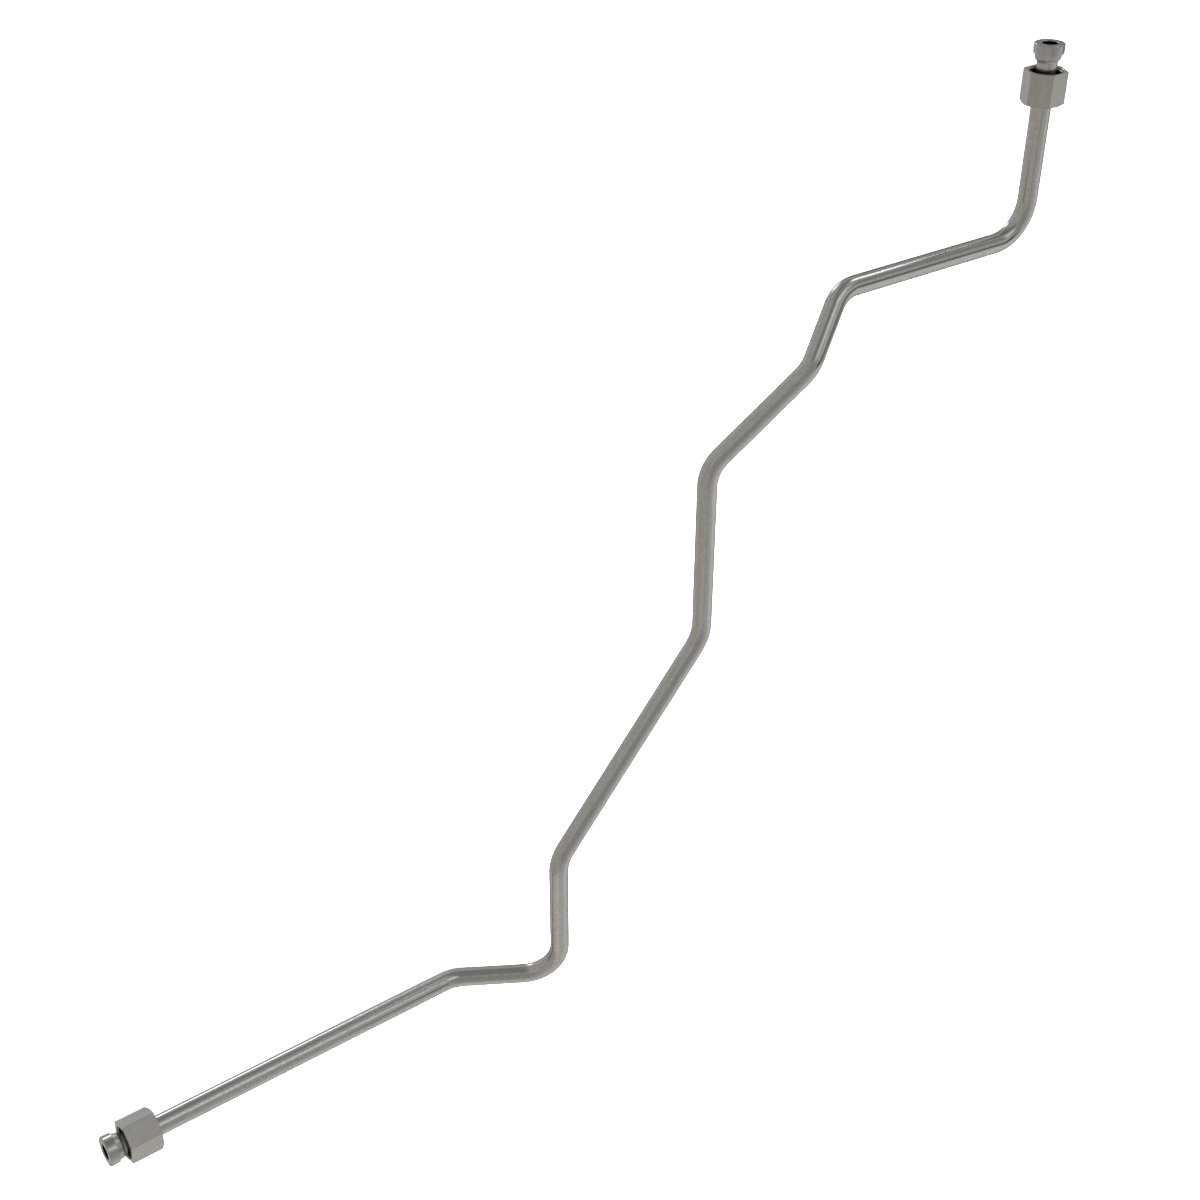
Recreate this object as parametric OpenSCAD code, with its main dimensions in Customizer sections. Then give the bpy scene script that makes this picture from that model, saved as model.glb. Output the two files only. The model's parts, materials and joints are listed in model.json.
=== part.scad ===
// Bent tube assembly: a drawn stainless tube with eight bends, a turned nipple
// brazed on each end and a loose union nut behind each nipple.
// It lies on the floor as it comes to rest, on its first bend and on a flat of
// each nut. X runs along the line from one end to the other, Z is up.

/* [Tube] */
// Outside diameter of the tube
tube_od = 10; // [8:0.5:10.5]
// Wall thickness of the tube
tube_wall = 1; // [0.5:0.25:1.5]
// Radius of every bend, at the tube's centre line
bend_radius = 20; // [15:1:25]
// How much the tube's radius draws in round a bend
bend_draw = 0.02; // [0.01:0.01:0.1]

/* [Straight lengths] */
// Long leg, from the nipple's end face to the first bend
straight_1 = 189; // [120:0.5:260]
// Second straight
straight_2 = 31.5; // [15:0.5:60]
// Third straight
straight_3 = 50.5; // [25:0.5:90]
// Fourth straight
straight_4 = 121; // [70:0.5:180]
// Fifth straight
straight_5 = 77; // [40:0.5:120]
// Sixth straight
straight_6 = 53.5; // [30:0.5:90]
// Seventh straight
straight_7 = 27.5; // [15:0.5:50]
// Eighth straight
straight_8 = 93.5; // [60:0.5:140]
// Short leg, from the last bend to the other nipple's end face
straight_9 = 76.5; // [50:0.5:120]

/* [Bend angles] */
// First bend, which lifts the tube off the floor
bend_1 = 33; // [25:1:45]
// Second bend, a right angle
bend_2 = 90; // [80:1:95]
// Third bend
bend_3 = 43; // [35:1:50]
// Fourth bend
bend_4 = 42; // [35:1:50]
// Fifth bend
bend_5 = 48; // [40:1:55]
// Sixth bend
bend_6 = 29; // [20:1:40]
// Seventh bend
bend_7 = 49; // [40:1:55]
// Eighth bend, a right angle
bend_8 = 90; // [80:1:95]

/* [Turns from one bend's plane to the next] */
// Turn about the second straight
turn_2 = -86; // [-95:1:-75]
// Turn about the third straight
turn_3 = -146; // [-155:1:-135]
// Turn about the fourth straight
turn_4 = 178; // [165:1:180]
// Turn about the fifth straight
turn_5 = 161; // [150:1:170]
// Turn about the sixth straight
turn_6 = 112; // [100:1:125]
// Turn about the seventh straight
turn_7 = -117; // [-130:1:-105]
// Turn about the eighth straight
turn_8 = -155; // [-165:1:-145]

/* [Nipples] */
// Diameter of the head, which passes through the nut's thread
head_d = 14.8; // [14:0.1:14.9]
// Length of the head
head_length = 4.6; // [3:0.1:7]
// Diameter of the neck where it meets the head
neck_d = 13.1; // [12.6:0.1:13.8]
// Diameter of the neck where the seat cone starts
neck_back_d = 12.4; // [12:0.1:12.5]
// Length of the neck
neck_length = 2.8; // [1.5:0.1:5]
// Diameter of the bore through the head
nipple_bore_d = 7.5; // [4:0.5:7.5]
// Thickness of the rim that is left where the seat cone meets the tube
rim = 0.2; // [0.1:0.05:0.4]
// Brazing gap all round the tube in its socket
braze_gap = 0.05; // [0.02:0.01:0.1]
// Gap between the tube's end and the shoulder of its socket
socket_gap = 0.2; // [0.1:0.05:0.5]
// Chamfer on the edges of the end face
face_chamfer = 0.3; // [0.1:0.1:0.5]

/* [Union nuts] */
// Width across the flats of the hexagon
nut_af = 19; // [18.5:0.5:24]
// Length of the nut
nut_length = 16; // [14.5:0.5:20]
// Major diameter of the pipe thread
thread_d = 16.66; // [16.4:0.02:17]
// Pitch of the pipe thread
thread_pitch = 1.337; // [1:0.001:1.5]
// Diameter of the countersink at the nut's mouth
mouth_d = 17.3; // [17.1:0.1:17.9]
// Depth of the thread from the nut's mouth
thread_depth = 11; // [8:0.5:12]
// Clearance all round the tube in the nut's back wall
nut_clearance = 0.15; // [0.1:0.05:0.3]
// Angle of the chamfer on the corners at the tube's side
corner_chamfer = 30; // [15:5:35]
// Distance of the long leg's nut behind the end face
long_leg_nut_back = 9.3; // [9:0.1:60]
// Distance of the short leg's nut behind the end face
short_leg_nut_back = 12.8; // [9:0.1:30]

/* [Hidden] */
$fn = 72;

straights = [straight_1, straight_2, straight_3, straight_4, straight_5,
             straight_6, straight_7, straight_8, straight_9];
bends = [bend_1, bend_2, bend_3, bend_4, bend_5, bend_6, bend_7, bend_8];
turns = [0, turn_2, turn_3, turn_4, turn_5, turn_6, turn_7, turn_8];
last = len(bends);

tube_r = tube_od / 2;
socket_r = tube_r + braze_gap;
nipple_length = head_length + neck_length + neck_back_d / 2 - socket_r - rim;
// Height of a pipe thread with 55 degree flanks, as a share of its pitch
thread_form = 0.6403;
thread_height = thread_form * thread_pitch;
thread_minor_r = thread_d / 2 - thread_height;
nut_hole_r = tube_r + nut_clearance;
corner_r = nut_af / 2 / cos(30);
// How far a cutting shape runs past the surface that it opens
cut = 1;
// Angle by which a bend reaches into the straights on both sides of it
bend_lap = 0.5;

// A frame is a 4 by 4 matrix. Its Z runs along the tube, away from the long
// leg's end face, and its X points to the inside of the bend that comes next.
function moved(v) = [[1, 0, 0, v.x], [0, 1, 0, v.y], [0, 0, 1, v.z], [0, 0, 0, 1]];
function turned_x(a) = [[1, 0, 0, 0], [0, cos(a), -sin(a), 0], [0, sin(a), cos(a), 0], [0, 0, 0, 1]];
function turned_y(a) = [[cos(a), 0, sin(a), 0], [0, 1, 0, 0], [-sin(a), 0, cos(a), 0], [0, 0, 0, 1]];
function turned_z(a) = [[cos(a), -sin(a), 0, 0], [sin(a), cos(a), 0, 0], [0, 0, 1, 0], [0, 0, 0, 1]];
function column(frame, i) = [frame[0][i], frame[1][i], frame[2][i]];
function heading(frame) = column(frame, 2);
function centre(frame) = column(frame, 3);
function unit(v) = v / norm(v);
function across(v, axis) = v - axis * (v * axis);

// Where each straight and each bend starts, walking along the bend table
function into_bend(a) = moved([bend_radius, 0, 0]) * turned_y(a) * moved([-bend_radius, 0, 0]);
function straight_start(i) = i == 0 ? moved([0, 0, 0]) : bend_start(i - 1) * into_bend(bends[i - 1]);
function bend_start(i) = straight_start(i) * moved([0, 0, straights[i]]) * turned_z(turns[i]);

// The two end faces, each with Z running into the tube
long_leg_end = straight_start(0);
short_leg_end = straight_start(last) * moved([0, 0, straights[last]]) * turned_x(180);

// The three places that it rests on: the start of the first bend, the back of
// the long leg's nut and the mouth of the short leg's nut. The floor is the
// plane that touches a ball at each of them.
bend_rest = centre(long_leg_end * moved([0, 0, straights[0]]));
long_leg_rest = centre(long_leg_end * moved([0, 0, long_leg_nut_back + nut_length]));
short_leg_rest = centre(short_leg_end * moved([0, 0, short_leg_nut_back]));
rest_rise = nut_af / 2 - tube_r;
rest_u = unit(long_leg_rest - bend_rest);
rest_v = unit(across(short_leg_rest - bend_rest, rest_u));
up_u = rest_rise / norm(long_leg_rest - bend_rest);
up_v = (rest_rise - up_u * (short_leg_rest - bend_rest) * rest_u) / ((short_leg_rest - bend_rest) * rest_v);
up = up_u * rest_u + up_v * rest_v - sqrt(1 - up_u * up_u - up_v * up_v) * cross(rest_u, rest_v);
along = unit(across(centre(short_leg_end) - centre(long_leg_end), up));
aside = cross(up, along);

// How far the assembly reaches in a direction, from rings round its bends and
// round the edges of its heads
bend_steps = 24;
rings = concat(
    [for (i = [0 : last - 1], step = [0 : bend_steps])
        [bend_start(i) * into_bend(bends[i] * step / bend_steps), tube_r]],
    [for (end = [long_leg_end, short_leg_end], depth = [face_chamfer, head_length])
        [end * moved([0, 0, depth]), head_d / 2]]);
function reach(way) = max([for (ring = rings)
    centre(ring[0]) * way + ring[1] * norm(cross(heading(ring[0]), way))]);

// Lays the assembly on the floor with the origin under the middle of its box
lay = [concat(along, (reach(-along) - reach(along)) / 2),
       concat(aside, (reach(-aside) - reach(aside)) / 2),
       concat(up, reach(-up)),
       [0, 0, 0, 1]];

// Turn about an end's own Z that puts a flat of a hexagon down
function flat_down(end) = atan2(-up * column(end, 1), -up * column(end, 0)) - 30;

module bend(angle, r) {
    translate([bend_radius, 0, 0])
        rotate([-90, 0, 0])
            rotate([0, 0, 180 - bend_lap])
                rotate_extrude(angle = angle + 2 * bend_lap)
                    translate([bend_radius, 0])
                        circle(r);
}

// The whole route as a rod, inset from the tube's surface. It starts and ends
// just short of the shoulders in the two nipples' sockets, or overruns that.
module rod(inset, overrun) {
    tube_end = head_length + socket_gap - overrun;
    for (i = [0 : last]) {
        seat = i == 0 ? tube_end : 0;
        stop = i == last ? tube_end : 0;
        multmatrix(straight_start(i) * moved([0, 0, seat]))
            cylinder(r = tube_r - inset, h = straights[i] - seat - stop);
        if (i < last)
            multmatrix(bend_start(i))
                bend(bends[i], tube_r - inset - bend_draw);
    }
}

module tube() {
    color("darkgray")
        multmatrix(lay)
            difference() {
                rod(0, 0);
                rod(tube_wall, cut);
            }
}

// A head with a flat end face, a neck and a 45 degree seat for the nut, with
// the tube's socket in its back
module nipple(end) {
    bore_r = nipple_bore_d / 2;
    neck_end = head_length + neck_length;
    multmatrix(lay * end)
        rotate_extrude()
            polygon([
                [bore_r + face_chamfer, 0],
                [head_d / 2 - face_chamfer, 0],
                [head_d / 2, face_chamfer],
                [head_d / 2, head_length],
                [neck_d / 2, head_length],
                [neck_back_d / 2, neck_end],
                [socket_r + rim, nipple_length],
                [socket_r, nipple_length],
                [socket_r, head_length],
                [bore_r, head_length],
                [bore_r, face_chamfer]]);
}

module long_leg_nipple() {
    color("silver")
        nipple(long_leg_end);
}

module short_leg_nipple() {
    color("silver")
        nipple(short_leg_end);
}

// A hexagon with its corners chamfered at the tube's side and a countersunk
// mouth. The thread is left as its minor diameter, and a 45 degree seat leads
// to the hole for the tube.
module nut(end, back) {
    chamfer_rise = (corner_r - nut_af / 2) * tan(corner_chamfer);
    seat_end = thread_depth + thread_minor_r - nut_hole_r;
    multmatrix(lay * end * moved([0, 0, back]))
        difference() {
            intersection() {
                rotate([0, 0, flat_down(end)])
                    cylinder(r = corner_r, h = nut_length, $fn = 6);
                rotate_extrude()
                    polygon([
                        [0, 0],
                        [corner_r + cut, 0],
                        [corner_r + cut, nut_length - chamfer_rise - cut * tan(corner_chamfer)],
                        [nut_af / 2, nut_length],
                        [0, nut_length]]);
            }
            rotate_extrude()
                polygon([
                    [0, -cut],
                    [mouth_d / 2 + cut, -cut],
                    [thread_minor_r, mouth_d / 2 - thread_minor_r],
                    [thread_minor_r, thread_depth],
                    [nut_hole_r, seat_end],
                    [nut_hole_r, nut_length + cut],
                    [0, nut_length + cut]]);
        }
}

module long_leg_nut() {
    color("gray")
        nut(long_leg_end, long_leg_nut_back);
}

module short_leg_nut() {
    color("gray")
        nut(short_leg_end, short_leg_nut_back);
}

tube();
long_leg_nipple();
short_leg_nipple();
long_leg_nut();
short_leg_nut();
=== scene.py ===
# Bent tube assembly: a drawn stainless tube with eight bends, a turned nipple
# brazed on each end and a loose union nut behind each nipple, lying at rest.
import json
import math

import bmesh
import bpy
from mathutils import Matrix, Quaternion, Vector


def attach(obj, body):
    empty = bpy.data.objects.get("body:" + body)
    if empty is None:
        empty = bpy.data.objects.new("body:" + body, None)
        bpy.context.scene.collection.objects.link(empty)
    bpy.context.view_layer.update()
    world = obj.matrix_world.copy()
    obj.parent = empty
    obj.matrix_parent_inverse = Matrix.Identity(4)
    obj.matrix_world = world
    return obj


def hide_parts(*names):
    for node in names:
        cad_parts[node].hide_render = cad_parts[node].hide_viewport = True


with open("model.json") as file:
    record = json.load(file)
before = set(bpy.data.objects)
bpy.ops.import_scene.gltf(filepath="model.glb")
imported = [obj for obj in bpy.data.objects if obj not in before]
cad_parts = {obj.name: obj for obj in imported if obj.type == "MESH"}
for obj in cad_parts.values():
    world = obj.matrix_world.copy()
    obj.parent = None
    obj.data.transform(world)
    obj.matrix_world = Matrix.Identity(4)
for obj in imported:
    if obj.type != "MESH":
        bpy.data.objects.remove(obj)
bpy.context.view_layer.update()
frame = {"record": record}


# Floor and studio.
# A pale floor of lit white film, swept up at its sides, under a wide soft lamp,
# so that shadows stay faint. The metal mirrors a dim grey room with soft panels.
floor_width = 12.0
sweep_height = 6.0
sweep_radius = 2.0
floor_colour = (0.93, 0.93, 0.93, 1.0)
floor_glow = 0.8
lamp_width = 4.0
lamp_height = 2.5
lamp_power = 330.0
room_colour = (0.448, 0.443, 0.432)

scene = bpy.context.scene
scene.view_settings.view_transform = "Standard"


def put(tree, kind, settings=None, **sockets):
    """Adds a node, sets its options, and fills or links its inputs by name."""
    node = tree.nodes.new(kind)
    for name, value in (settings or {}).items():
        setattr(node, name, value)
    for name, value in sockets.items():
        socket = node.inputs[int(name[1:])] if name[1:].isdigit() else node.inputs[name.replace("_", " ")]
        if isinstance(value, bpy.types.NodeSocket):
            tree.links.new(value, socket)
        else:
            socket.default_value = value
    return node


def toward(azimuth, elevation):
    """The direction at a compass angle from X and a height above the horizon."""
    a = math.radians(azimuth)
    e = math.radians(elevation)
    return Vector((math.cos(e) * math.cos(a), math.cos(e) * math.sin(a), math.sin(e)))


def select_edges(piece, wanted):
    """Selects the edges of a piece in edit mode whose two ends are as wanted."""
    bpy.ops.mesh.select_mode(type="EDGE")
    bpy.ops.mesh.select_all(action="DESELECT")
    skin = bmesh.from_edit_mesh(piece.data)
    for edge in skin.edges:
        edge.select_set(wanted(edge.verts[0].co, edge.verts[1].co))
    bmesh.update_edit_mesh(piece.data)


bpy.ops.object.select_all(action="DESELECT")
bpy.ops.mesh.primitive_plane_add(size=floor_width)
floor = bpy.context.active_object
floor.name = "floor"
bpy.ops.object.mode_set(mode="EDIT")
bpy.ops.mesh.select_mode(type="EDGE")
bpy.ops.mesh.select_all(action="SELECT")
bpy.ops.mesh.region_to_loop()
bpy.ops.mesh.extrude_edges_move(TRANSFORM_OT_translate={"value": (0, 0, sweep_height)})
select_edges(floor, lambda a, b: max(a.z, b.z) < sweep_radius)
bpy.ops.mesh.bevel(offset=sweep_radius, segments=12, affect="EDGES")
bpy.ops.object.mode_set(mode="OBJECT")
bpy.ops.object.shade_smooth()
floor.visible_glossy = False
floor.visible_diffuse = False
floor_paint = bpy.data.materials.new("pale_floor")
floor_paint.use_nodes = True
floor_shader = floor_paint.node_tree.nodes["Principled BSDF"]
floor_shader.inputs["Base Color"].default_value = floor_colour
floor_shader.inputs["Roughness"].default_value = 1.0
floor_shader.inputs["Specular IOR Level"].default_value = 0.0
floor_shader.inputs["Emission Color"].default_value = floor_colour
floor_shader.inputs["Emission Strength"].default_value = floor_glow
floor.data.materials.append(floor_paint)

bpy.ops.object.light_add(type="AREA", location=(0, 0, lamp_height))
lamp = bpy.context.active_object
lamp.name = "wide_lamp"
lamp.data.size = lamp_width
lamp.data.energy = lamp_power
lamp.visible_glossy = False

# Each panel: azimuth and elevation of its middle, tilt of its long side from
# level, half length, half width and soft edge as sines, strength and colour.
# A panel with a strength below nothing is a dark one.
panels = {
    "far_wall": (-90, 7, 10, 0.70, 0.46, 0.48, 0.27, (0.99, 0.99, 0.98)),
    "upper_front": (38, 37, 5, 0.19, 0.10, 0.16, 0.44, (1.0, 1.0, 0.99)),
    "low_strip": (23, -65, 0, 0.115, 0.065, 0.055, 3.2, (0.90, 0.97, 1.14)),
    "side_strip": (16, -6, 0, 0.10, 0.06, 0.05, 2.8, (0.88, 0.96, 1.20)),
    "low_front": (92, -60, 0, 0.16, 0.04, 0.08, 0.26, (0.85, 0.93, 1.30)),
    "dark_front": (50, -1, 50, 0.49, 0.15, 0.20, -0.18, (1.02, 1.0, 1.0)),
    "dark_far": (-40, 35, 74, 0.48, 0.09, 0.12, -0.50, (1.0, 1.0, 1.0)),
    "dark_gap": (-3, 30, -9, 0.19, 0.19, 0.17, -0.20, (1.0, 1.0, 1.0)),
    "dark_low": (-22, -38, 0, 0.15, 0.15, 0.15, -0.12, (1.0, 1.0, 1.0)),
    "dark_ceiling": (97, 63, -9, 0.39, 0.31, 0.28, -0.11, (1.0, 1.0, 1.0)),
    "left_wall": (168, 6, -4, 0.61, 0.35, 0.38, -0.02, (0.0, 0.6, 2.0)),
    "cool_floor": (-90, -78, 1, 0.33, 0.23, 0.28, 0.17, (0.9, 0.9, 1.2)),
    "dark_behind": (-89, -40, 0, 0.50, 0.30, 0.12, -0.36, (1.0, 1.0, 1.0)),
}

soft_box = bpy.data.node_groups.new("soft_box", "ShaderNodeTree")
for socket in ("Direction", "Facing", "Along", "Across"):
    soft_box.interface.new_socket(socket, in_out="INPUT", socket_type="NodeSocketVector")
for socket in ("Half Length", "Half Width", "Edge"):
    soft_box.interface.new_socket(socket, in_out="INPUT", socket_type="NodeSocketFloat")
soft_box.interface.new_socket("Mask", in_out="OUTPUT", socket_type="NodeSocketFloat")
given = put(soft_box, "NodeGroupInput").outputs


def edge_mask(way, half_size):
    """Fades from one to nothing past a half size along one way."""
    dot = put(soft_box, "ShaderNodeVectorMath", {"operation": "DOT_PRODUCT"},
              _0=given["Direction"], _1=given[way])
    side = put(soft_box, "ShaderNodeMath", {"operation": "ABSOLUTE"}, _0=dot.outputs["Value"])
    end = put(soft_box, "ShaderNodeMath", {"operation": "ADD"}, _0=given[half_size], _1=given["Edge"])
    fade = put(soft_box, "ShaderNodeMapRange", {"interpolation_type": "SMOOTHSTEP"},
               Value=side.outputs[0], From_Min=given[half_size], From_Max=end.outputs[0],
               To_Min=1.0, To_Max=0.0)
    return fade.outputs["Result"]


front = put(soft_box, "ShaderNodeVectorMath", {"operation": "DOT_PRODUCT"},
            _0=given["Direction"], _1=given["Facing"])
in_front = put(soft_box, "ShaderNodeMath", {"operation": "GREATER_THAN"},
               _0=front.outputs["Value"], _1=0.0)
both = put(soft_box, "ShaderNodeMath", {"operation": "MULTIPLY"},
           _0=edge_mask("Along", "Half Length"), _1=edge_mask("Across", "Half Width"))
mask = put(soft_box, "ShaderNodeMath", {"operation": "MULTIPLY"}, _0=both.outputs[0], _1=in_front.outputs[0])
put(soft_box, "NodeGroupOutput", Mask=mask.outputs[0])

room = bpy.data.worlds.new("grey_room")
room.use_nodes = True
scene.world = room
sky = room.node_tree
sky.nodes.clear()
ray = put(sky, "ShaderNodeTexCoord").outputs["Generated"]
light = room_colour
for azimuth, elevation, tilt, half_length, half_width, edge, strength, colour in panels.values():
    facing = toward(azimuth, elevation)
    along = Quaternion(facing, math.radians(tilt)) @ toward(azimuth + 90, 0)
    box = put(sky, "ShaderNodeGroup", {"node_tree": soft_box}, Direction=ray, Facing=facing, Along=along,
              Across=facing.cross(along), Half_Length=half_length, Half_Width=half_width, Edge=edge)
    glow = put(sky, "ShaderNodeVectorMath", {"operation": "SCALE"},
               _0=[c * strength for c in colour], Scale=box.outputs["Mask"])
    added = put(sky, "ShaderNodeVectorMath", {"operation": "ADD"}, _0=light, _1=glow.outputs["Vector"])
    light = added.outputs["Vector"]
backdrop = put(sky, "ShaderNodeBackground", Color=light)
put(sky, "ShaderNodeOutputWorld", Surface=backdrop.outputs[0])


# Camera.
# It looks down at the assembly from its far side and is rolled, so that the
# long leg runs up from the lower left corner of a square picture.
mm = 0.001
view_target = Vector((2.74, 50.9, 0.0)) * mm
view_distance = 787.96 * mm
view_azimuth = 91.444
view_elevation = 40.313
view_roll = 129.559
lens_length = 48.252
sensor_width = 36.0

bpy.ops.object.camera_add()
camera = bpy.context.active_object
camera.name = "camera"
outward = toward(view_azimuth, view_elevation)
level_view = (-outward).to_track_quat("-Z", "Y")
camera.matrix_world = Matrix.LocRotScale(
    view_target + outward * view_distance,
    level_view @ Quaternion((0, 0, 1), math.radians(view_roll)), None)
camera.data.lens = lens_length
camera.data.sensor_width = sensor_width
camera.data.clip_start = 0.01
scene.camera = camera


# Tube.
# One length of stainless tube, drawn through a die, which leaves fine lines
# along it. It is cut to length and bent cold in eight places round one former.
tube_radius = 5.0 * mm
tube_wall = 1.0 * mm
bend_radius = 20.0 * mm
straights = [s * mm for s in (189, 31.5, 50.5, 121, 77, 53.5, 27.5, 93.5, 76.5)]
bends = (33, 90, 43, 42, 48, 29, 49, 90)
turns = (0, -86, -146, 178, 161, 112, -117, -155)
head_length = 4.6 * mm
socket_gap = 0.2 * mm
tube_sides = 64
straight_step = 8.0 * mm
bend_step = 3.0
tube_colour = (0.68, 0.668, 0.645, 1.0)
tube_stain = (0.49, 0.478, 0.45, 1.0)
tube_patches = (0.25, 0.25, 0.5)
# Painted shade inside the tube's bore, as a fraction of the metal's colour.
tube_painted_bore_shade = 0.12
tube_edge_tint = 0.5

mounts = {mount["name"]: mount for mount in frame["record"]["mounts"]}


def end_frame(leg):
    """The middle of a leg's end face: Z runs into the tube, X to the face's mark."""
    into = -Vector(mounts[leg + "_face"]["axis"])
    mark = Vector(mounts[leg + "_face"]["pos_m"])
    on_axis = Vector(mounts[leg + "_bore"]["pos_m"])
    middle = on_axis + into * (mark - on_axis).dot(into)
    side = (mark - middle).normalized()
    turned = Matrix((side, into.cross(side), into)).transposed().to_4x4()
    return Matrix.Translation(middle) @ turned


def keep_stock_place(piece):
    """Stores each point's place on the bar or tube that the piece is made from."""
    stock = piece.data.attributes.new("stock", "FLOAT_VECTOR", "POINT")
    for point, place in zip(piece.data.vertices, stock.data):
        place.vector = point.co


def mark_ring(piece, here, turned, distance):
    """Stores where the newest ring sat on the straight tube before it was bent."""
    skin = bmesh.from_edit_mesh(piece.data)
    stock = skin.verts.layers.float_vector["stock"]
    back = Matrix.Rotation(turned, 4, "Z") @ here.inverted()
    for point in skin.verts:
        if point.select:
            place = back @ point.co
            point[stock] = (place.x, place.y, distance)
    bmesh.update_edit_mesh(piece.data)


def apply_modifier(piece, kind, **options):
    """Adds a modifier with its options and applies it."""
    modifier = piece.modifiers.new(kind.lower(), kind)
    for name, value in options.items():
        setattr(modifier, name, value)
    bpy.context.view_layer.objects.active = piece
    bpy.ops.object.modifier_apply(modifier=modifier.name)


bpy.ops.object.select_all(action="DESELECT")
bpy.ops.mesh.primitive_circle_add(vertices=tube_sides, radius=tube_radius, fill_type="NOTHING")
tube = bpy.context.active_object
tube.name = "drawn_tube"
tube_end = head_length + socket_gap
here = end_frame("long_leg") @ Matrix.Translation((0, 0, tube_end))
tube.data.transform(here)
tube.data.attributes.new("stock", "FLOAT_VECTOR", "POINT")
bpy.ops.object.mode_set(mode="EDIT")
bpy.ops.mesh.select_all(action="SELECT")
turned = 0.0
distance = 0.0
mark_ring(tube, here, turned, distance)
for i, straight in enumerate(straights):
    run = straight
    if i in (0, len(bends)):
        run = straight - tube_end
    steps = math.ceil(run / straight_step)
    for step in range(steps):
        move = here.col[2].to_3d() * run / steps
        bpy.ops.mesh.extrude_region_move(TRANSFORM_OT_translate={"value": move})
        here = Matrix.Translation(move) @ here
        distance += run / steps
        mark_ring(tube, here, turned, distance)
    if i == len(bends):
        break
    here = here @ Matrix.Rotation(math.radians(turns[i]), 4, "Z")
    turned += math.radians(turns[i])
    centre = here @ Vector((bend_radius, 0, 0))
    axis = here.col[1].to_3d()
    steps = math.ceil(bends[i] / bend_step)
    angle = math.radians(bends[i]) / steps
    swing = Matrix.Translation(centre) @ Matrix.Rotation(angle, 4, axis) @ Matrix.Translation(-centre)
    for step in range(steps):
        bpy.ops.mesh.spin(steps=1, angle=-angle, center=centre, axis=axis)
        here = swing @ here
        distance += angle * bend_radius
        mark_ring(tube, here, turned, distance)
bpy.ops.mesh.select_all(action="SELECT")
bpy.ops.mesh.remove_doubles(threshold=0.001 * mm)
bpy.ops.mesh.normals_make_consistent(inside=False)
bpy.ops.object.mode_set(mode="OBJECT")
apply_modifier(tube, "SOLIDIFY", thickness=tube_wall, offset=-1.0, use_even_offset=True)
bpy.ops.object.shade_smooth_by_angle(angle=math.radians(35))


def noise(tree, place, stretch, scale, detail, roughness=0.55):
    """Noise on stretched coordinates, from nothing to one."""
    stretched = put(tree, "ShaderNodeVectorMath", {"operation": "MULTIPLY"}, _0=place, _1=stretch)
    return put(tree, "ShaderNodeTexNoise", Vector=stretched.outputs["Vector"], Scale=scale,
               Detail=detail, Roughness=roughness).outputs["Fac"]


def ranged(tree, value, low, high, to_low, to_high):
    """Maps a value from one range to another and stops at both ends."""
    return put(tree, "ShaderNodeMapRange", Value=value, From_Min=low, From_Max=high,
               To_Min=to_low, To_Max=to_high).outputs["Result"]


# Handling stains and cloudy patches, which every metal surface here has
stains = bpy.data.node_groups.new("handling_stains", "ShaderNodeTree")
stains.interface.new_socket("Place", in_out="INPUT", socket_type="NodeSocketVector")
stains.interface.new_socket("Cloud", in_out="OUTPUT", socket_type="NodeSocketFloat")
stain_place = put(stains, "NodeGroupInput").outputs["Place"]
cloud = noise(stains, stain_place, (1, 1, 0.45), 240.0, 4.0, 0.6)
put(stains, "NodeGroupOutput", Cloud=ranged(stains, cloud, 0.3, 0.7, 0.0, 1.0))

# Fine lines along a drawn tube or bar, and the grain between them
drawn = bpy.data.node_groups.new("drawing_lines", "ShaderNodeTree")
drawn.interface.new_socket("Place", in_out="INPUT", socket_type="NodeSocketVector")
drawn.interface.new_socket("Lines", in_out="OUTPUT", socket_type="NodeSocketFloat")
drawn.interface.new_socket("Grain", in_out="OUTPUT", socket_type="NodeSocketFloat")
drawn.interface.new_socket("Height", in_out="OUTPUT", socket_type="NodeSocketFloat")
drawn_place = put(drawn, "NodeGroupInput").outputs["Place"]
broad = noise(drawn, drawn_place, (1, 1, 0.012), 700.0, 3.0)
fine = noise(drawn, drawn_place, (1, 1, 0.02), 4200.0, 2.0)
grain = noise(drawn, drawn_place, (1, 1, 0.5), 1200.0, 2.0)
streaks = put(drawn, "ShaderNodeMath", {"operation": "MULTIPLY_ADD"}, _0=broad, _1=7.0, _2=fine)
height = put(drawn, "ShaderNodeMath", {"operation": "MULTIPLY_ADD"},
             _0=grain, _1=5.0, _2=streaks.outputs[0])
put(drawn, "NodeGroupOutput", Lines=ranged(drawn, broad, 0.3, 0.7, 0.0, 1.0),
    Grain=ranged(drawn, grain, 0.3, 0.7, 0.0, 1.0), Height=height.outputs[0])


def start_metal(name, colour, edge_tint):
    """A bare metal material: its node tree, its shader and the stock's place."""
    metal = bpy.data.materials.new(name)
    metal.use_nodes = True
    tree = metal.node_tree
    shader = tree.nodes["Principled BSDF"]
    shader.inputs["Base Color"].default_value = colour
    shader.inputs["Metallic"].default_value = 1.0
    shader.inputs["Specular Tint"].default_value = (edge_tint, edge_tint, edge_tint, 1.0)
    place = put(tree, "ShaderNodeAttribute", {"attribute_name": "stock"}).outputs["Vector"]
    return metal, tree, shader, place


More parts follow.
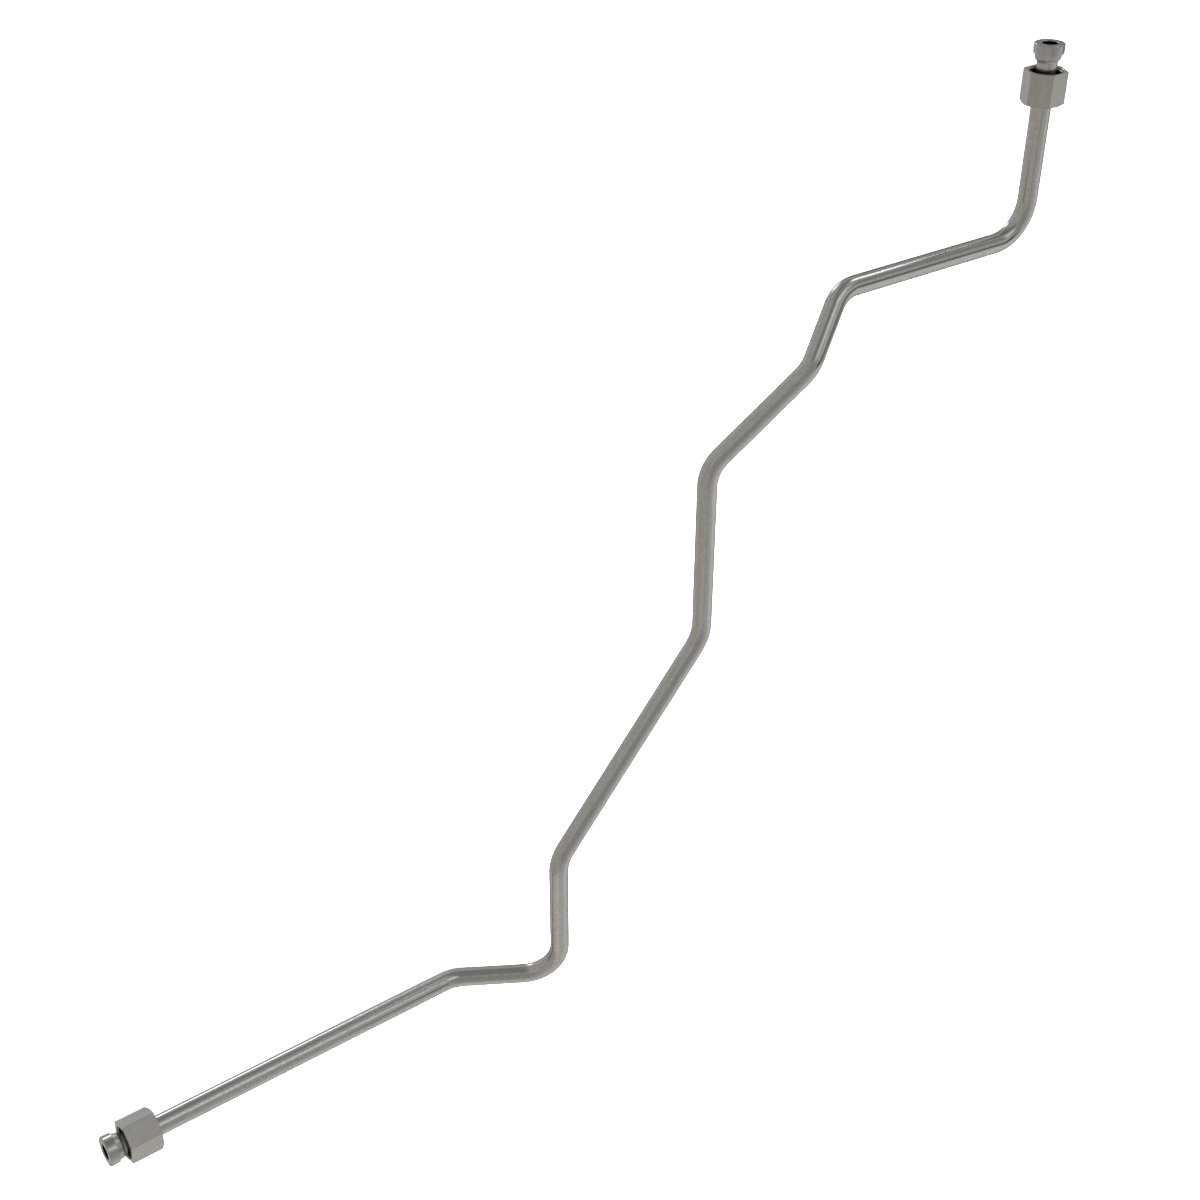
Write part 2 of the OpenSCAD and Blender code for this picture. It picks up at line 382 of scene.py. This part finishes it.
def stained_with_painted_bore_shade(tree, stained, clean, factor, place, bore_radius, painted_shade):
    """The metal's colour, from stained to clean by a factor, with painted shade that darkens it inside a
    bore.
    """
    colour = put(tree, "ShaderNodeMix", {"data_type": "RGBA"}, _0=factor, _6=stained, _7=clean)
    across = put(tree, "ShaderNodeVectorMath", {"operation": "MULTIPLY"}, _0=place, _1=(1, 1, 0))
    radius = put(tree, "ShaderNodeVectorMath", {"operation": "LENGTH"}, _0=across.outputs["Vector"])
    # Painted shade: inside the bore radius the colour drops to a given fraction, standing in for the shade
    # in the hole.
    shade = ranged(tree, radius.outputs["Value"], bore_radius, bore_radius + 0.2 * mm, painted_shade, 1.0)
    return put(tree, "ShaderNodeVectorMath", {"operation": "SCALE"},
               _0=colour.outputs[2], Scale=shade).outputs["Vector"]


tube_metal, tree, shader, place = start_metal("drawn_stainless", tube_colour, tube_edge_tint)
stained = put(tree, "ShaderNodeGroup", {"node_tree": stains}, Place=place).outputs
lines = put(tree, "ShaderNodeGroup", {"node_tree": drawn}, Place=place).outputs
patch = put(tree, "ShaderNodeVectorMath", {"operation": "DOT_PRODUCT"}, _1=tube_patches)
parts = put(tree, "ShaderNodeCombineXYZ", X=stained["Cloud"], Y=lines["Lines"], Z=lines["Grain"])
tree.links.new(parts.outputs["Vector"], patch.inputs[0])
# The colour carries stains and painted shade inside the bore.
tree.links.new(stained_with_painted_bore_shade(tree, tube_stain, tube_colour, patch.outputs["Value"], place, tube_radius - tube_wall,
                      tube_painted_bore_shade), shader.inputs["Base Color"])
tree.links.new(ranged(tree, lines["Grain"], 0.0, 1.0, 0.25, 0.11), shader.inputs["Roughness"])
bump = put(tree, "ShaderNodeBump", Strength=1.0, Distance=0.003 * mm, Height=lines["Height"])
tree.links.new(bump.outputs["Normal"], shader.inputs["Normal"])
tube.data.materials.append(tube_metal)
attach(tube, "brazed_tube")
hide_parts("tube")


# Nipples.
# A stainless nipple turned on a lathe, with a flat end face to seal on, a neck
# and a 45 degree seat for the nut. The tube is brazed into the socket behind,
# and the braze runs out on it in a small fillet and leaves the seat dull.
head_radius = 7.4 * mm
neck_radius = 6.55 * mm
neck_back_radius = 6.2 * mm
neck_length = 2.8 * mm
nipple_bore_radius = 3.75 * mm
rim = 0.2 * mm
seat_rounding = 0.4 * mm
braze_gap = 0.05 * mm
braze_run = 0.6 * mm
face_chamfer = 0.3 * mm
corner_rounding = 0.08 * mm
lathe_steps = 96
nipple_colour = (0.535, 0.525, 0.507, 1.0)
nipple_stain = (0.485, 0.472, 0.447, 1.0)
# Painted shade inside the nipple's bore, as a fraction of the metal's colour.
nipple_painted_bore_shade = 0.12
nipple_edge_tint = 0.7
seat_shine = 0.8
head_roughness = 0.18
neck_roughness = 0.32

socket_radius = tube_radius + braze_gap
neck_end = head_length + neck_length
nipple_length = neck_end + neck_back_radius - socket_radius - rim
nipple_outline = [
    (nipple_bore_radius + face_chamfer, 0.0),
    (head_radius - face_chamfer, 0.0),
    (head_radius, face_chamfer),
    (head_radius, head_length),
    (neck_radius, head_length),
    (neck_back_radius, neck_end - seat_rounding),
    (neck_back_radius - 0.7 * seat_rounding, neck_end + 0.7 * seat_rounding),
    (socket_radius + rim, nipple_length),
    (tube_radius, nipple_length + braze_run),
    (socket_radius, head_length),
    (nipple_bore_radius, head_length),
    (nipple_bore_radius, face_chamfer)]


def turn_on_lathe(name, outline, rounding=0.0):
    """A ring turned from an outline of radius and height, round the Z axis."""
    bpy.ops.object.select_all(action="DESELECT")
    bpy.ops.mesh.primitive_circle_add(vertices=len(outline), fill_type="NOTHING")
    piece = bpy.context.active_object
    piece.name = name
    for point, (radius, height) in zip(piece.data.vertices, outline):
        point.co = (radius, 0.0, height)
    bpy.ops.object.mode_set(mode="EDIT")
    bpy.ops.mesh.select_all(action="SELECT")
    if rounding:
        bpy.ops.mesh.bevel(offset=rounding, segments=3, affect="VERTICES")
        bpy.ops.mesh.select_all(action="SELECT")
    bpy.ops.mesh.spin(steps=lathe_steps, angle=math.tau, center=(0, 0, 0), axis=(0, 0, 1))
    bpy.ops.mesh.select_all(action="SELECT")
    bpy.ops.mesh.remove_doubles(threshold=0.001 * mm)
    bpy.ops.mesh.normals_make_consistent(inside=False)
    bpy.ops.object.mode_set(mode="OBJECT")
    return piece


def put_in_place(piece, place):
    """Moves a finished piece to its place in the assembly, and keeps that in its mesh."""
    bpy.ops.object.select_all(action="DESELECT")
    piece.select_set(True)
    bpy.context.view_layer.objects.active = piece
    bpy.ops.object.shade_smooth_by_angle(angle=math.radians(30))
    piece.matrix_world = place
    bpy.ops.object.transform_apply(location=True, rotation=True, scale=True)
    apply_modifier(piece, "WEIGHTED_NORMAL", keep_sharp=True)


# Rings that a lathe tool leaves, round the axis of the bar
rings = bpy.data.node_groups.new("turning_rings", "ShaderNodeTree")
rings.interface.new_socket("Place", in_out="INPUT", socket_type="NodeSocketVector")
rings.interface.new_socket("Rings", in_out="OUTPUT", socket_type="NodeSocketFloat")
rings.interface.new_socket("Height", in_out="OUTPUT", socket_type="NodeSocketFloat")
ring_place = put(rings, "NodeGroupInput").outputs["Place"]
flat_place = put(rings, "ShaderNodeVectorMath", {"operation": "MULTIPLY"}, _0=ring_place, _1=(1, 1, 0))
radius = put(rings, "ShaderNodeVectorMath", {"operation": "LENGTH"}, _0=flat_place.outputs["Vector"])
height = put(rings, "ShaderNodeSeparateXYZ", Vector=ring_place).outputs["Z"]
on_ring = put(rings, "ShaderNodeCombineXYZ", X=radius.outputs["Value"], Y=height, Z=0.0).outputs["Vector"]
coarse_rings = noise(rings, on_ring, (1, 1, 1), 2600.0, 2.0)
fine_rings = noise(rings, on_ring, (1, 1, 1), 7000.0, 1.0)
ring_sum = put(rings, "ShaderNodeMath", {"operation": "ADD"}, _0=coarse_rings, _1=fine_rings)
put(rings, "NodeGroupOutput", Rings=ranged(rings, coarse_rings, 0.3, 0.7, 0.0, 1.0),
    Height=ring_sum.outputs[0])

nipple_metal, tree, shader, place = start_metal("turned_stainless", nipple_colour, nipple_edge_tint)
stained = put(tree, "ShaderNodeGroup", {"node_tree": stains}, Place=place).outputs
ringed = put(tree, "ShaderNodeGroup", {"node_tree": rings}, Place=place).outputs
# The colour carries stains and painted shade inside the bore.
tree.links.new(stained_with_painted_bore_shade(tree, nipple_stain, nipple_colour, stained["Cloud"], place, nipple_bore_radius,
                      nipple_painted_bore_shade), shader.inputs["Base Color"])
depth = put(tree, "ShaderNodeSeparateXYZ", Vector=place).outputs["Z"]
wear = ranged(tree, depth, head_length - rim, head_length + rim, head_roughness, neck_roughness)
roughness = put(tree, "ShaderNodeMath", {"operation": "MULTIPLY_ADD"}, _0=ringed["Rings"], _1=0.06, _2=wear)
tree.links.new(roughness.outputs[0], shader.inputs["Roughness"])
dull = ranged(tree, depth, neck_end, neck_end + seat_rounding, 1.0, seat_shine)
tree.links.new(dull, shader.inputs["Metallic"])
bump = put(tree, "ShaderNodeBump", Strength=1.0, Distance=0.004 * mm, Height=ringed["Height"])
tree.links.new(bump.outputs["Normal"], shader.inputs["Normal"])

for leg in ("long_leg", "short_leg"):
    nipple = turn_on_lathe("turned_nipple_" + leg, nipple_outline, corner_rounding)
    keep_stock_place(nipple)
    put_in_place(nipple, end_frame(leg))
    nipple.data.materials.append(nipple_metal)
    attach(nipple, "brazed_tube")
    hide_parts(leg + "_nipple")


# Union nuts.
# A nut cut from drawn hexagon bar, bored, threaded from its mouth and chamfered
# at its back. It is loose on the tube and draws the nipple onto its port.
nut_width = 19.0 * mm
nut_length = 16.0 * mm
thread_radius = 8.33 * mm
thread_pitch = 1.337 * mm
thread_form = 0.6403
thread_depth = 11.0 * mm
mouth_radius = 8.65 * mm
nut_clearance = 0.15 * mm
corner_chamfer = math.radians(30)
nut_back = {"long_leg": 9.3 * mm, "short_leg": 12.8 * mm}
edge_rounding = 0.25 * mm
mouth_rounding = 0.12 * mm
nut_colour = (0.555, 0.545, 0.53, 1.0)
nut_stain = (0.478, 0.461, 0.418, 1.0)
# Painted shade on the thread and bore inside the nut, as a fraction of the metal's colour.
painted_thread_shade = 0.35
nut_edge_tint = 0.9

overcut = 1.0 * mm
corner_radius = nut_width / 2 / math.cos(math.radians(30))
thread_height = thread_form * thread_pitch
minor_radius = thread_radius - thread_height
hole_radius = tube_radius + nut_clearance
chamfer_rise = (corner_radius - nut_width / 2) * math.tan(corner_chamfer)
seat_end = thread_depth + minor_radius - hole_radius


def cut_with(piece, tool, operation):
    """Cuts a piece with another solid, which is then thrown away."""
    apply_modifier(piece, "BOOLEAN", operation=operation, solver="EXACT", object=tool)
    bpy.data.objects.remove(tool)


def thread_tool():
    """The path of a threading tool: a V swept along a helix, closed at both ends."""
    bpy.ops.object.select_all(action="DESELECT")
    root = 0.06 * thread_pitch
    crest = 0.44 * thread_pitch
    inside = minor_radius - 0.3 * thread_height
    outline = [(inside, -crest), (thread_radius, -root), (thread_radius, root), (inside, crest)]
    bpy.ops.mesh.primitive_circle_add(vertices=len(outline), fill_type="NOTHING")
    tool = bpy.context.active_object
    for point, (radius, height) in zip(tool.data.vertices, outline):
        point.co = (radius, 0.0, height - thread_pitch)
    rounds = math.floor(thread_depth / thread_pitch)
    apply_modifier(tool, "SCREW", axis="Z", angle=math.tau, screw_offset=thread_pitch, iterations=rounds,
                   steps=lathe_steps, render_steps=lathe_steps, use_smooth_shade=False)
    bpy.ops.object.mode_set(mode="EDIT")
    bpy.ops.mesh.select_all(action="SELECT")
    bpy.ops.mesh.fill_holes(sides=0)
    bpy.ops.mesh.normals_make_consistent(inside=False)
    bpy.ops.object.mode_set(mode="OBJECT")
    return tool


def make_nut(name):
    """A union nut with its mouth on the floor of its own frame and its back up."""
    bpy.ops.object.select_all(action="DESELECT")
    bpy.ops.mesh.primitive_cylinder_add(vertices=6, radius=corner_radius, depth=nut_length,
                                        location=(0, 0, nut_length / 2))
    nut = bpy.context.active_object
    nut.name = name
    bpy.ops.object.transform_apply(location=True, rotation=True, scale=True)
    bpy.ops.object.mode_set(mode="EDIT")
    select_edges(nut, lambda a, b: abs(a.z - b.z) > nut_length / 2)
    bpy.ops.mesh.bevel(offset=edge_rounding, segments=3, affect="EDGES")
    select_edges(nut, lambda a, b: max(a.z, b.z) < mouth_rounding)
    bpy.ops.mesh.bevel(offset=mouth_rounding, segments=2, affect="EDGES")
    bpy.ops.object.mode_set(mode="OBJECT")
    chamfer = turn_on_lathe("chamfer_tool", [
        (0.0, -overcut),
        (corner_radius + overcut, -overcut),
        (corner_radius + overcut, nut_length - chamfer_rise - overcut * math.tan(corner_chamfer)),
        (nut_width / 2, nut_length),
        (0.0, nut_length + 0.01 * mm)])
    cut_with(nut, chamfer, "INTERSECT")
    bore = turn_on_lathe("boring_tool", [
        (0.0, -overcut),
        (mouth_radius + overcut, -overcut),
        (minor_radius, mouth_radius - minor_radius),
        (minor_radius, thread_depth),
        (hole_radius, seat_end),
        (hole_radius, nut_length + overcut),
        (0.0, nut_length + overcut)])
    cut_with(nut, bore, "DIFFERENCE")
    cut_with(nut, thread_tool(), "DIFFERENCE")
    return nut


nut_metal, tree, shader, place = start_metal("hexagon_stainless", nut_colour, nut_edge_tint)
stained = put(tree, "ShaderNodeGroup", {"node_tree": stains}, Place=place).outputs
lines = put(tree, "ShaderNodeGroup", {"node_tree": drawn}, Place=place).outputs
# The colour carries stains and painted shade inside the thread.
tree.links.new(stained_with_painted_bore_shade(tree, nut_stain, nut_colour, stained["Cloud"], place, thread_radius, painted_thread_shade),
               shader.inputs["Base Color"])
tree.links.new(ranged(tree, stained["Cloud"], 0.0, 1.0, 0.24, 0.32), shader.inputs["Roughness"])
bump = put(tree, "ShaderNodeBump", Strength=1.0, Distance=0.0004 * mm, Height=lines["Height"])
tree.links.new(bump.outputs["Normal"], shader.inputs["Normal"])

for leg in ("long_leg", "short_leg"):
    nut = make_nut("union_nut_" + leg)
    keep_stock_place(nut)
    seat = end_frame(leg)
    flat_down = math.atan2(-seat[2][1], -seat[2][0])
    put_in_place(nut, seat @ Matrix.Translation((0, 0, nut_back[leg])) @ Matrix.Rotation(flat_down, 4, "Z"))
    nut.data.materials.append(nut_metal)
    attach(nut, leg + "_nut")
    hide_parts(leg + "_nut")
